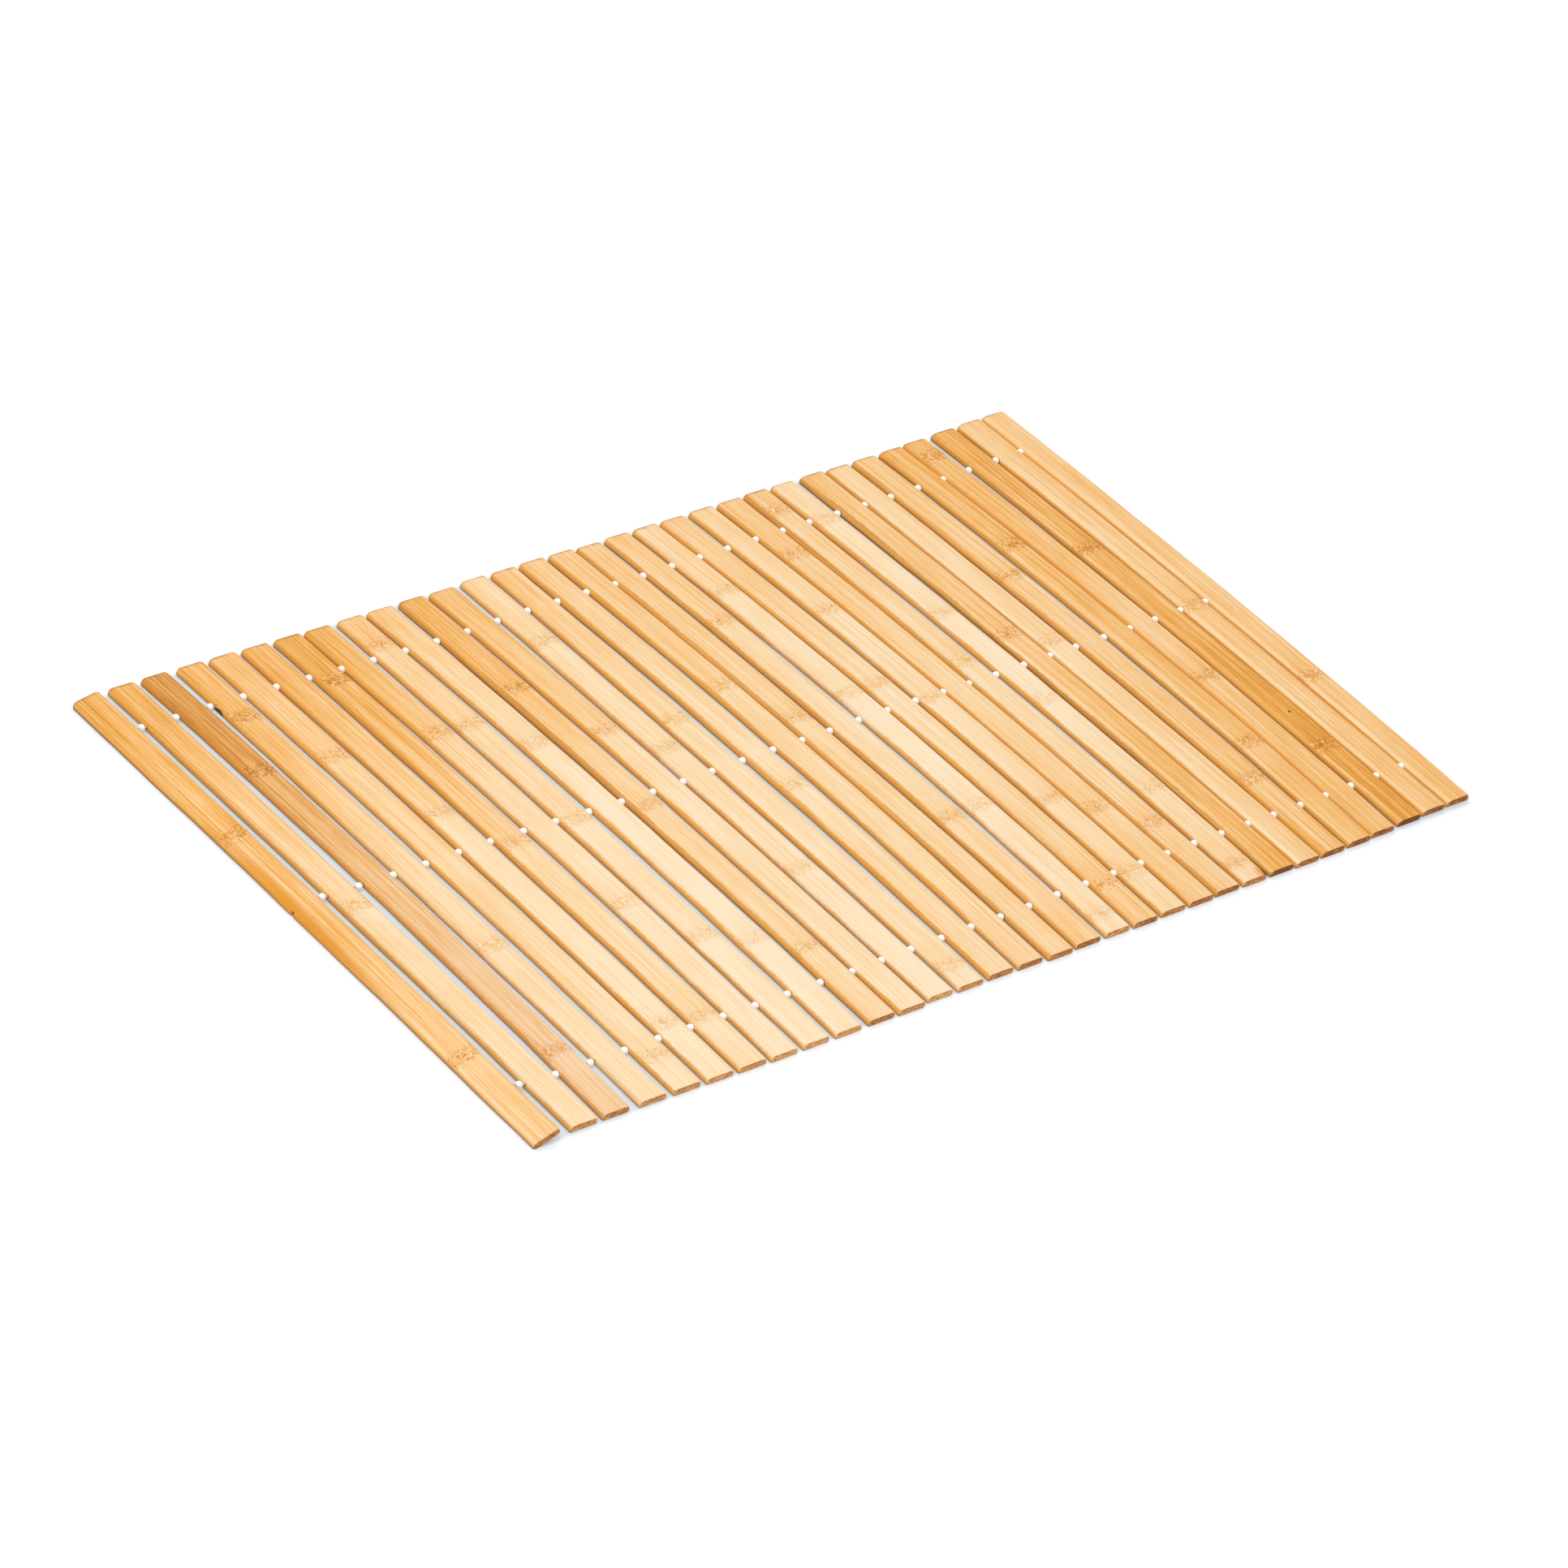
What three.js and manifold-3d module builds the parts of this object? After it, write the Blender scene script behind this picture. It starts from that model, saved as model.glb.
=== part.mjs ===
// A bamboo mat lying flat: thirty-two slats side by side, strung on three cords with a bead in every gap.
// Millimetres, +Z up. X runs along the mat, across the slats, and Y runs along each slat, +Y to the back.
// The slats lie on z = 0. Only the first one is tipped, with its outer side on the floor.

import * as THREE from 'three';
import { mergeVertices } from 'three/addons/utils/BufferGeometryUtils.js';
import Module from 'manifold-3d';

const wasm = await Module();
wasm.setup();

// Slats
const SLAT_LENGTH = 503.5;
const SLAT_THICKNESS = 5;
const SIDE_DEPTH = 3.8; // how far each rounded long side reaches in from the slat's outermost line
const SIDE_SEGMENTS = 2; // per quarter turn of the rounded side
const LENGTH_STEPS = 6;

// Each row places one slat, as the mat lies: x of its middle at the back and the front end, how far its
// mid-length bows out to +X, its width, and how far it has slipped along its own length.
const SLATS = [
  [-393.5, -395.0, 1.5, 21.2, -3.0],
  [-364.0, -364.0, 1.5, 21.8, 0.0],
  [-338.0, -339.0, 4.5, 21.6, 0.5],
  [-310.0, -310.5, 1.5, 21.6, 0.5],
  [-284.5, -284.0, 2.5, 22.6, 0.5],
  [-259.0, -258.5, 2.5, 22.4, 0.0],
  [-233.0, -233.0, 2.5, 22.6, 0.0],
  [-209.0, -208.0, 4.5, 22.0, -0.5],
  [-182.0, -182.0, 3.0, 22.0, 0.0],
  [-157.5, -156.0, 5.0, 22.4, 0.0],
  [-131.0, -128.5, 3.0, 22.4, 0.5],
  [-106.0, -104.0, 4.0, 22.0, 0.0],
  [-78.5, -79.0, 2.5, 21.8, 2.0],
  [-53.0, -54.0, 2.5, 21.8, 1.5],
  [-29.0, -28.5, 4.5, 21.8, 2.0],
  [-4.5, -4.0, 6.0, 21.8, 1.5],
  [18.5, 21.0, 5.0, 21.8, 0.0],
  [44.0, 45.5, 5.0, 22.0, 1.0],
  [68.5, 71.0, 6.5, 21.8, 1.0],
  [92.0, 95.0, 7.0, 21.8, 0.5],
  [118.0, 119.5, 6.5, 21.8, 1.0],
  [143.0, 144.0, 5.0, 22.0, 0.5],
  [167.0, 168.0, 3.0, 21.8, 1.0],
  [191.0, 192.0, 5.0, 21.6, 0.5],
  [217.5, 216.0, 4.5, 22.0, 0.5],
  [240.5, 239.0, 4.0, 21.8, -0.5],
  [265.0, 262.5, 5.0, 22.0, -0.5],
  [290.0, 286.5, 6.5, 21.4, -0.5],
  [312.5, 309.0, 6.5, 21.8, 0.0],
  [340.5, 334.5, 4.0, 22.0, 1.0],
  [366.0, 358.0, 3.0, 22.0, 1.5],
  [388.5, 381.0, 3.5, 21.8, 1.5],
].map(([back, front, bow, width, slip]) => ({ back, front, bow, width, slip }));

// The first slat is tipped and slightly twisted: its roll about its length at its two ends, in degrees.
const TIPPED = { slat: 0, back: 12, front: 19 };

// The slats at the mat's two ends lie further to the back than those in the middle.
const ROW_SWING = 4.3;
const ROW_HALF_LENGTH = 375;

// Three drilled rows, as distances from the slat's middle. The holes stray a little from those lines: each pair
// is a slat's number and how far its hole strays to the back, with even steps to the next pair.
const ROWS = [
  { name: 'back', hole: 207, stray: [[1, 1], [5, 2], [7, 1], [10, -1], [13, 0], [32, 0]] },
  {
    name: 'middle',
    hole: 7.5,
    stray: [
      [1, 0], [4, -0.5], [6, 2], [8, 2], [10, -0.5], [13, -2],
      [18, 0.5], [20, 1], [23, -1], [27, 0.5], [32, -3],
    ],
  },
  {
    name: 'front',
    hole: -203.5,
    stray: [[1, 1], [3, -1], [7, 0.5], [10, -0.5], [14, -1.5], [17, 0], [20, 1.5], [27, 1.5], [32, -1]],
  },
];

// Cord and beads
const CORD_RADIUS = 0.75;
const BEAD_RADIUS = 2.4;
const BEAD_SLICES = [-BEAD_RADIUS + 0.15, -1, 1, BEAD_RADIUS - 0.15]; // rings of a bead, from its middle
const CORD_END = 3; // the cord ends inside the first and last slat, this far past their middles
const BEND_IN = 2; // beside the tipped slat the cord dips, and is level again this far inside the next slat
const SIDES = 6; // sides of the cords, beads and holes

// Drilled holes, with a flared mouth round each bead, widest at the middle of the gap
const BORE_RADIUS = 1.4;
const MOUTH_RADIUS = 3.2;
const MOUTH_DEPTH = 2.9;
const BLIND_ROOM = 1; // room past the cord's end

const radians = THREE.MathUtils.degToRad;
const lerp = THREE.MathUtils.lerp;

// Middle of slat number n at a distance along it from its own middle, with its roll there.
function slatAt(n, along) {
  const slat = SLATS[n];
  const t = along / (SLAT_LENGTH / 2);
  const x = lerp(slat.front, slat.back, (t + 1) / 2) + slat.bow * (1 - t * t);
  const swing = ROW_SWING * (((slat.back + slat.front) / 2 / ROW_HALF_LENGTH) ** 2);
  const roll = n === TIPPED.slat ? radians(lerp(TIPPED.front, TIPPED.back, (t + 1) / 2)) : 0;
  const flat = slat.width / 2 - SIDE_DEPTH;
  const drop = Math.hypot(SIDE_DEPTH * Math.sin(roll), (SLAT_THICKNESS / 2) * Math.cos(roll));
  return { x, y: along + swing + slat.slip, z: flat * Math.sin(roll) + drop, roll };
}

// Outermost point of a long side of slat n: side is -1 for its left, 1 for its right.
function sideAt(n, along, side) {
  const mid = slatAt(n, along);
  const reach = (side * SLATS[n].width) / 2;
  return new THREE.Vector3(mid.x + reach * Math.cos(mid.roll), mid.y, mid.z + reach * Math.sin(mid.roll));
}

// The section of a slat: flat above and below, with half an ellipse for each long side.
function slatSection(width) {
  const flat = width / 2 - SIDE_DEPTH;
  const half = SLAT_THICKNESS / 2;
  const shape = new THREE.Shape();
  shape.absellipse(flat, 0, SIDE_DEPTH, half, -Math.PI / 2, Math.PI / 2, false);
  shape.absellipse(-flat, 0, SIDE_DEPTH, half, Math.PI / 2, (3 * Math.PI) / 2, false);
  return shape;
}

// A slat is its section drawn out along Y, then laid on its own middle line, with its bow and its roll.
function slatGeometry(n) {
  const geometry = new THREE.ExtrudeGeometry(slatSection(SLATS[n].width), {
    depth: SLAT_LENGTH,
    steps: LENGTH_STEPS,
    bevelEnabled: false,
    curveSegments: SIDE_SEGMENTS,
  });
  geometry.rotateX(Math.PI / 2);
  geometry.translate(0, SLAT_LENGTH / 2, 0);
  const points = geometry.getAttribute('position');
  for (let i = 0; i < points.count; i += 1) {
    const mid = slatAt(n, points.getY(i));
    const across = points.getX(i);
    const up = points.getZ(i);
    points.setXYZ(
      i,
      mid.x + across * Math.cos(mid.roll) - up * Math.sin(mid.roll),
      mid.y,
      mid.z + across * Math.sin(mid.roll) + up * Math.cos(mid.roll),
    );
  }
  return geometry;
}

// How far along slat n the hole of a row lies from the slat's middle.
function holeAt(row, n) {
  const number = n + 1;
  let k = 1;
  while (row.stray[k][0] < number) k += 1;
  const [from, before] = row.stray[k - 1];
  const [to, after] = row.stray[k];
  return row.hole + lerp(before, after, (number - from) / (to - from));
}

// Beads of one row, each midway between the two slat sides that it parts.
function beadCentres(row) {
  const centres = [];
  for (let n = 0; n + 1 < SLATS.length; n += 1) {
    const left = sideAt(n, holeAt(row, n), 1);
    const right = sideAt(n + 1, holeAt(row, n + 1), -1);
    centres.push(left.add(right).multiplyScalar(0.5));
  }
  return centres;
}

// Where the cord is level again, inside the slat after the tipped one.
function cordBend(row, beads) {
  const n = TIPPED.slat + 1;
  const side = sideAt(n, holeAt(row, n), -1);
  return new THREE.Vector3(side.x + BEND_IN, beads[TIPPED.slat].y, side.z);
}

// The line of one cord: out of the tipped slat at its side, down at the bend, then straight from bead to bead.
function cordRoute(row, beads, bend) {
  const level = BEAD_SLICES[BEAD_SLICES.length - 1];
  const tipped = slatAt(0, holeAt(row, 0));
  const start = new THREE.Vector3(tipped.x - CORD_END, tipped.y, tipped.z - CORD_END * Math.tan(tipped.roll));
  const last = slatAt(SLATS.length - 1, holeAt(row, SLATS.length - 1));
  const end = new THREE.Vector3(last.x + CORD_END, last.y, last.z);
  const points = [start, sideAt(0, holeAt(row, 0), 1), bend, end];
  for (const bead of beads) {
    points.push(new THREE.Vector3(bead.x - level, bead.y, bead.z));
    points.push(new THREE.Vector3(bead.x + level, bead.y, bead.z));
  }
  return points.sort((a, b) => a.x - b.x);
}

function routeAt(route, x) {
  let k = 1;
  while (k < route.length - 1 && route[k].x < x) k += 1;
  const a = route[k - 1];
  const b = route[k];
  const t = (x - a.x) / (b.x - a.x);
  return { y: lerp(a.y, b.y, t), z: lerp(a.z, b.z, t) };
}

// A turned body on the cord's line. Rings are [x, radius] pairs from left to right.
function turned(rings, route) {
  const first = rings[0];
  const last = rings[rings.length - 1];
  const profile = [
    new THREE.Vector2(0, first[0]),
    ...rings.map(([x, radius]) => new THREE.Vector2(radius, x)),
    new THREE.Vector2(0, last[0]),
  ];
  const geometry = new THREE.LatheGeometry(profile, SIDES);
  geometry.rotateZ(-Math.PI / 2);
  const points = geometry.getAttribute('position');
  for (let i = 0; i < points.count; i += 1) {
    const x = points.getX(i);
    const line = routeAt(route, x);
    points.setXYZ(i, x, points.getY(i) + line.y, points.getZ(i) + line.z);
  }
  return geometry;
}

// The cord with its beads threaded on it, one body for a row.
function beadedCord({ beads, bend, route }) {
  const round = BEAD_SLICES.map((off) => [off, Math.sqrt(BEAD_RADIUS ** 2 - off ** 2)]);
  const rings = [
    [route[0].x, CORD_RADIUS],
    [route[1].x, CORD_RADIUS],
    [bend.x, CORD_RADIUS],
    ...beads.flatMap((bead) => round.map(([off, radius]) => [bead.x + off, radius])),
    [route[route.length - 1].x, CORD_RADIUS],
  ];
  rings.sort((a, b) => a[0] - b[0]);
  return turned(rings, route);
}

// What the cord's hole takes out of slat n: a bore with a flared mouth at each gap, blind in the end slats.
function holeCutter(n, { beads, bend, route }) {
  const rings = [];
  if (n === 0) {
    rings.push([route[0].x - BLIND_ROOM, BORE_RADIUS], [route[1].x, BORE_RADIUS]);
  } else {
    const inner = n === TIPPED.slat + 1 ? bend.x : beads[n - 1].x + MOUTH_DEPTH;
    rings.push([beads[n - 1].x, MOUTH_RADIUS], [inner, BORE_RADIUS]);
  }
  if (n === SLATS.length - 1) {
    rings.push([route[route.length - 1].x + BLIND_ROOM, BORE_RADIUS]);
  } else {
    rings.push([beads[n].x - MOUTH_DEPTH, BORE_RADIUS], [beads[n].x, MOUTH_RADIUS]);
  }
  return turned(rings, route);
}

function toSolid(geometry) {
  const bare = geometry.clone();
  bare.deleteAttribute('normal');
  bare.deleteAttribute('uv');
  const merged = mergeVertices(bare, 1e-4);
  const triVerts = [];
  const index = merged.getIndex().array;
  for (let i = 0; i < index.length; i += 3) {
    const [a, b, c] = [index[i], index[i + 1], index[i + 2]];
    if (a !== b && b !== c && c !== a) triVerts.push(a, b, c);
  }
  return new wasm.Manifold(new wasm.Mesh({
    numProp: 3,
    vertProperties: new Float32Array(merged.getAttribute('position').array),
    triVerts: new Uint32Array(triVerts),
  }));
}

function toGeometry(solid) {
  const mesh = solid.getMesh();
  const geometry = new THREE.BufferGeometry();
  geometry.setAttribute('position', new THREE.BufferAttribute(mesh.vertProperties, 3));
  geometry.setIndex(new THREE.BufferAttribute(mesh.triVerts, 1));
  geometry.computeVertexNormals();
  return geometry;
}

// A named sub-part, its geometry about its own middle and its mesh placed there.
function subPart(name, geometry, material) {
  geometry.computeBoundingBox();
  const middle = geometry.boundingBox.getCenter(new THREE.Vector3());
  geometry.translate(-middle.x, -middle.y, -middle.z);
  const mesh = new THREE.Mesh(geometry, material);
  mesh.name = name;
  mesh.position.copy(middle);
  return mesh;
}

const bamboo = new THREE.MeshStandardMaterial({ color: 0xe3b673, roughness: 0.5, metalness: 0 });
const whiteCord = new THREE.MeshStandardMaterial({ color: 0xf4f3f0, roughness: 0.3, metalness: 0 });

const mat = new THREE.Group();
const strung = ROWS.map((row) => {
  const beads = beadCentres(row);
  const bend = cordBend(row, beads);
  return { row, beads, bend, route: cordRoute(row, beads, bend) };
});

SLATS.forEach((slat, n) => {
  let solid = toSolid(slatGeometry(n));
  for (const line of strung) solid = solid.subtract(toSolid(holeCutter(n, line)));
  mat.add(subPart(`slat_${String(n + 1).padStart(2, '0')}`, toGeometry(solid), bamboo));
});

for (const line of strung) {
  const body = toGeometry(toSolid(beadedCord(line)));
  mat.add(subPart(`beaded_cord_${line.row.name}`, body, whiteCord));
}

// The mat's origin is under its middle.
mat.updateMatrixWorld(true);
const box = new THREE.Box3().setFromObject(mat);
const middle = box.getCenter(new THREE.Vector3());
mat.position.set(-middle.x, -middle.y, -box.min.z);

export default mat;
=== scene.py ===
"""The looks of a bamboo mat that lies flat: fine slats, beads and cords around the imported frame.

Metres, +Z up. X runs across the slats, Y along them. Every slat is worked out from its frame node.
"""

import math
from types import SimpleNamespace

import bpy
import numpy as np
from mathutils import Matrix, Vector


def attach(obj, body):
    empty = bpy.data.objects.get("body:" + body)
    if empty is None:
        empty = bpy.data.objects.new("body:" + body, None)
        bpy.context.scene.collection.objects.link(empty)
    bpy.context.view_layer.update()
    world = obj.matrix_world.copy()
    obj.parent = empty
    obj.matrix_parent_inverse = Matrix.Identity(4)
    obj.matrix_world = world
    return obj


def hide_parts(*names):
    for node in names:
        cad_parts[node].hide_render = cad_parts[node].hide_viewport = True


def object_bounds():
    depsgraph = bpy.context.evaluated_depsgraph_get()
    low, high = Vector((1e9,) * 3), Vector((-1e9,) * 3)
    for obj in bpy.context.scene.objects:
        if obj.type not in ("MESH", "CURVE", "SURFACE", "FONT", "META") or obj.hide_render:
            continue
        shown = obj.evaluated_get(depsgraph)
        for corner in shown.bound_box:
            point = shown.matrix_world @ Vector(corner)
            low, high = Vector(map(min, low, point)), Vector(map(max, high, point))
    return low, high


MM = 0.001

# Camera, from the photograph's own perspective
CAMERA_LENS = 165.0
CAMERA_SENSOR = 36.0
CAMERA_DISTANCE = 4.710
CAMERA_AZIMUTH = math.radians(45.15)  # how far the view direction is turned from +Y towards +X
CAMERA_ELEVATION = math.radians(35.24)
CAMERA_ROLL = math.radians(-11.3)
CAMERA_AIM = Vector((-25.7 * MM, -27.7 * MM, 2.5 * MM))

# Slats
THICKNESS = 5.0 * MM
SIDE_DEPTH = 3.8 * MM  # how far each rounded long side reaches in, on top
FULLNESS = 2.4  # of the rounded sides, where 2 would make them ellipses
WIDEST = (-1.1 * MM, -0.4 * MM)  # height of the left and of the right side's outermost line
UNDER_DEPTH = (1.4 * MM, 3.0 * MM)  # how far their rounding reaches in underneath
NODE_STATIONS = 7  # places along the frame's slat where its mesh has a ring of points
SAME_PLACE = 0.01 * MM  # the points of one such ring differ by less than this along the slat
SIDE_STEPS = 7  # per quarter turn of a rounded side
TOP_COLUMNS = 10
STATION_GAP = 3.6 * MM
KNOT_STATIONS = (-6.0 * MM, -4.2 * MM, -2.6 * MM, -1.2 * MM, 0.0, 1.2 * MM, 2.6 * MM, 4.2 * MM, 6.0 * MM)
KNOT_ROOM = 1 * MM  # no evenly spaced station lies closer than this to a knot's own stations
END_EASE = 0.5 * MM  # eased edge round each sawn end
CORNER_EASE = 1.9 * MM  # how far its corners are rounded in from the long sides
FRONT_SHARE = 0.35  # share of this easing that the front ends have
EASE_DEPTH = 1.5 * MM  # how far along the slat the easing starts
EASE_STEPS = 5
FACET_WIDTH = 4.6 * MM  # planed strip along the top left edge of some slats
FACET_DROP = 1.5 * MM  # how much lower the strip's outer edge is than the top face
WAVES = ((173.0 * MM, 0.16 * MM), (71.0 * MM, 0.10 * MM), (29.0 * MM, 0.04 * MM))  # length, height
WAVE_START = 6.28  # radians, the most by which a wave is shifted
KNOT_RISE = 0.10 * MM
KNOT_SPREAD = 3.0 * MM
SLAT_CREASE = math.radians(32)  # edges sharper than this aren't smoothed
FIRST_SEED = 100

# Holes: the flare of each mouth as distances from the middle of its gap, with the radius there
FLARE = (
    (0.0, 2.80 * MM),
    (0.8 * MM, 2.68 * MM),
    (1.6 * MM, 2.20 * MM),
    (2.3 * MM, 1.40 * MM),
    (2.9 * MM, 1.10 * MM),
)
CHIPPED_FLARE = ((0.0, 3.5 * MM), (1.0 * MM, 3.1 * MM), (2.1 * MM, 2.2 * MM), (2.9 * MM, 1.1 * MM))
BLIND_ROOM = 1.0 * MM  # room past the cord's end in the two end slats
HOLE_SIDES = 24

# Slats whose left mouths are chipped, in each row of holes
CHIPPED = {"back": (4, 13, 14, 25, 30, 31), "middle": (), "front": (4, 11, 17, 19)}

# Beads and cords
BEAD_RADIUS = 2.6 * MM
BEAD_HOLE = 0.9 * MM
BEAD_SIDES = 28
BEAD_RINGS = 13
CORD_RADIUS = 0.72 * MM
RING_GAP = 0.1 * MM  # rings of the frame's cords lie further apart than this
CORD_PLY_DEPTH = 0.16 * MM
CORD_PLY_TURN = 4.2 * MM  # length of one full twist
CORD_SIDES = 10
CORD_STEP = 0.9 * MM
STRUNG_CREASE = math.radians(50)

# How deep a slat's colour is, from the palest bamboo to the deepest
TONES = {
    "cream": 0.06,
    "pale": 0.20,
    "straw": 0.34,
    "honey": 0.50,
    "gold": 0.66,
    "amber": 0.82,
    "deep": 1.0,
    "dark": 1.12,
}
TONE_REACH = 1.3  # the tone at the colour ramps' far end
TONE_PLACES = (0.04, 0.5, 0.96)  # where a slat has its front, middle and back tone, as shares of its length
PAST_REACH = 8 * MM  # how far from a knot the colour of its one side has changed to that of the other
SIDE_SHADE_WIDTH = (0.6 * MM, 2.6 * MM)  # width of the left side's painted shade, and how much more of it at most
SIDE_BLUR = 0.9 * MM
FRONT_SIDE_LESS = 0.22  # how much less deep the left side's painted shade is at the front end than at the back
STRIP_PLACES = (1.0 * MM, 1.5 * MM, 3.3 * MM, 4.3 * MM)  # across a planed strip, which has a painted highlight in between
STRIP_SHARES = (1.0, 0.75, 0.35)  # how much of that painted highlight it has at the front, middle and back
# how much the painted highlight pales the tone
STRIP_HIGHLIGHT = 0.30
STRIP_CLEAR = 0.9 * MM  # how much narrower the left side's painted shade is there

# Each row is one slat: its tone at the back, middle and front, the y of its knots in mm, whether its top
# left edge is planed, and how deep the painted shade of its left side is at the back.
# Most slats are paler at the front and deeper at the back: partly their own tone, partly a painted light
# falloff
SLATS = [
    ("amber", "gold", "honey", (84, -166), False, 0.0),
    ("amber", "straw", "pale", (-10,), False, 0.35),
    ("deep", "honey", "straw", (135, -185), False, 0.30),
    ("amber", "straw", "pale", (188, -82), False, 0.15),
    ("gold", "straw", "pale", (127, -218), False, 0.25),
    ("amber", "pale", "cream", (46, -195), False, 0.45),
    ("deep", "straw", "pale", (195, -1, -200), False, 0.55),
    ("amber", "pale", "cream", (118, -85), False, 0.30),
    ("honey", "pale", "cream", (216, 116, 1, -134), False, 0.25),
    ("honey", "cream", "cream", (80, -152), False, 0.45),
    ("amber", "straw", "straw", (136, -8, -175), False, 0.80),
    ("gold", "pale", "pale", (71,), False, 0.35),
    ("straw", "pale", "cream", (171, 37, -107), False, 0.15),
    ("honey", "pale", "pale", (60, -232), False, 0.25),
    ("honey", "pale", "straw", (-33,), False, 0.60),
    ("honey", "straw", "straw", (77,), False, 0.45),
    ("honey", "straw", "straw", (26,), False, 0.75),
    ("honey", "pale", "honey", (137, -108), False, 0.60),
    ("straw", "cream", "pale", (164, 32, -106, -235), False, 0.15),
    ("honey", "pale", "honey", (32, -212), False, 0.35),
    ("straw", "pale", "straw", (116, 3, -122, -209), False, 0.35),
    ("honey", "straw", "honey", (178, -144), False, 0.40),
    ("honey", "pale", "honey", (225, 26, -175), False, 0.85),
    ("pale", "cream", "straw", (202, 77, -33, -144, -234), False, 0.30),
    ("gold", "honey", "amber", (37,), True, 1.00),
    ("straw", "straw", "honey", (19,), True, 0.65),
    ("honey", "honey", "gold", (91, -167), False, 0.60),
    ("amber", "gold", "gold", (120, -134), True, 0.65),
    ("gold", "honey", "gold", (231, -62), False, 0.45),
    ("amber", "amber", "dark", (93, -160), True, 0.75),
    ("honey", "honey", "gold", (6,), True, 0.30),
    ("honey", "honey", "gold", (-95,), True, 0.30),
]
SLATS = [dict(zip(("back", "middle", "front", "knots", "planed", "side"), row)) for row in SLATS]
RUSSET_SLAT = 2  # counted from 0: reddish brown at the back, rosy at the front
EDGE_SHADED_SLAT = 0  # its outer side has painted shade from a little above its middle down
EDGE_SHADE = 0.33

# Bites out of slats' left sides: the slat's number, y of the bite, half its length and its depth, in mm
BITES = ((1, 4.0, 1.4, 0.7), (5, -252.0, 1.6, 0.9))
BITE_REACH = 1.2  # how far its stations reach, in half lengths
BITE_STATIONS = 9
BITE_RAGGED = 0.35  # how much its depth comes and goes
BITE_RIPPLE = 5.1  # and how quickly, in radians for each mm

# Dark marks: the slat's number, how far the mark is from the slat's left edge, its y, its height over the
# slat's middle, half its width and half its length, in mm. The first four are painted shade in chips and
# chipped hole mouths, the last two a burn and a speck.
MARKS_AND_SHADES = (
    (1, 0.6, 4.0, 1.5, 1.0, 1.6),
    (4, 0.0, 203.3, -0.9, 2.3, 5.0),
    (4, 0.6, 208.0, 1.8, 0.7, 0.8),
    (5, 0.5, -252.0, 1.5, 1.2, 1.6),
    (24, 21.2, -252.3, 1.0, 2.7, 4.8),
    (30, 13.0, -120.6, 2.5, 1.1, 1.4),
)

# Amber stains, in the same columns
STAINS = ((1, 3.2, 2.0, 2.5, 5.5, 105.0), (24, 19.0, -250.0, 2.5, 5.0, 9.0))


# Camera

def add_camera():
    data = bpy.data.cameras.new("camera")
    data.lens = CAMERA_LENS
    data.sensor_width = CAMERA_SENSOR
    data.clip_start = 0.1
    data.clip_end = 50
    camera = bpy.data.objects.new("camera", data)
    bpy.context.scene.collection.objects.link(camera)
    a, e, roll = CAMERA_AZIMUTH, CAMERA_ELEVATION, CAMERA_ROLL
    forward = Vector((math.sin(a) * math.cos(e), math.cos(a) * math.cos(e), -math.sin(e)))
    level = Vector((math.cos(a), -math.sin(a), 0))
    down = forward.cross(level)
    right = level * math.cos(roll) + down * math.sin(roll)
    up = level * math.sin(roll) - down * math.cos(roll)
    turn = Matrix((right, up, -forward)).transposed()
    camera.matrix_world = Matrix.Translation(CAMERA_AIM - forward * CAMERA_DISTANCE) @ turn.to_4x4()
    bpy.context.scene.camera = camera


# Reading the frame

class Lie:
    """How one slat of the frame lies: the lines of its two long sides as functions of y."""

    def __init__(self, node):
        points = np.array([v.co for v in node.data.vertices])
        self.low, self.high = points[:, 1].min(), points[:, 1].max()
        self.middle = (self.low + self.high) / 2
        left, right = [], []
        for y in np.linspace(self.low, self.high, NODE_STATIONS):
            ring = points[np.abs(points[:, 1] - y) < SAME_PLACE]
            left.append(ring[ring[:, 0].argmin()])
            right.append(ring[ring[:, 0].argmax()])
        self.left = self.line(np.array(left))
        self.right = self.line(np.array(right))
        self.width = np.linalg.norm(left[0] - right[0])

    def line(self, points):
        """Its x and its z as polynomials of y."""
        return [np.polyfit(points[:, 1] - self.middle, points[:, axis], 2) for axis in (0, 2)]

    def side(self, line, y):
        """Points of a side line at each y, as an array of rows."""
        x, z = [np.polyval(curve, y - self.middle) for curve in line]
        return np.stack([x, y, z], -1)

    def axes(self, y):
        """Middle point, direction across and direction up of the slat at each y."""
        left, right = self.side(self.left, y), self.side(self.right, y)
        across = right - left
        across /= np.linalg.norm(across, axis=-1, keepdims=True)
        up = np.stack([-across[..., 2], np.zeros_like(y), across[..., 0]], -1)
        return (left + right) / 2, across, up


class Strung:
    """One beaded cord of the frame: the line through its rings, and the middles of its beads."""

    def __init__(self, node):
        points = np.unique(np.round([v.co for v in node.data.vertices], 7), axis=0)
        rings = np.split(points, np.flatnonzero(np.diff(points[:, 0]) > RING_GAP) + 1)
        self.line = np.array([(ring.min(0) + ring.max(0)) / 2 for ring in rings])
        radius = np.array([np.ptp(ring[:, 2]) / 2 for ring in rings])
        wide = self.line[radius > BEAD_RADIUS / 2]
        self.beads = [Vector(middle) for middle in (wide[0::2] + wide[1::2]) / 2]

    def at(self, x):
        """The point of its line at an x."""
        y = np.interp(x, self.line[:, 0], self.line[:, 1])
        z = np.interp(x, self.line[:, 0], self.line[:, 2])
        return Vector((x, y, z))


# Meshes

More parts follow.
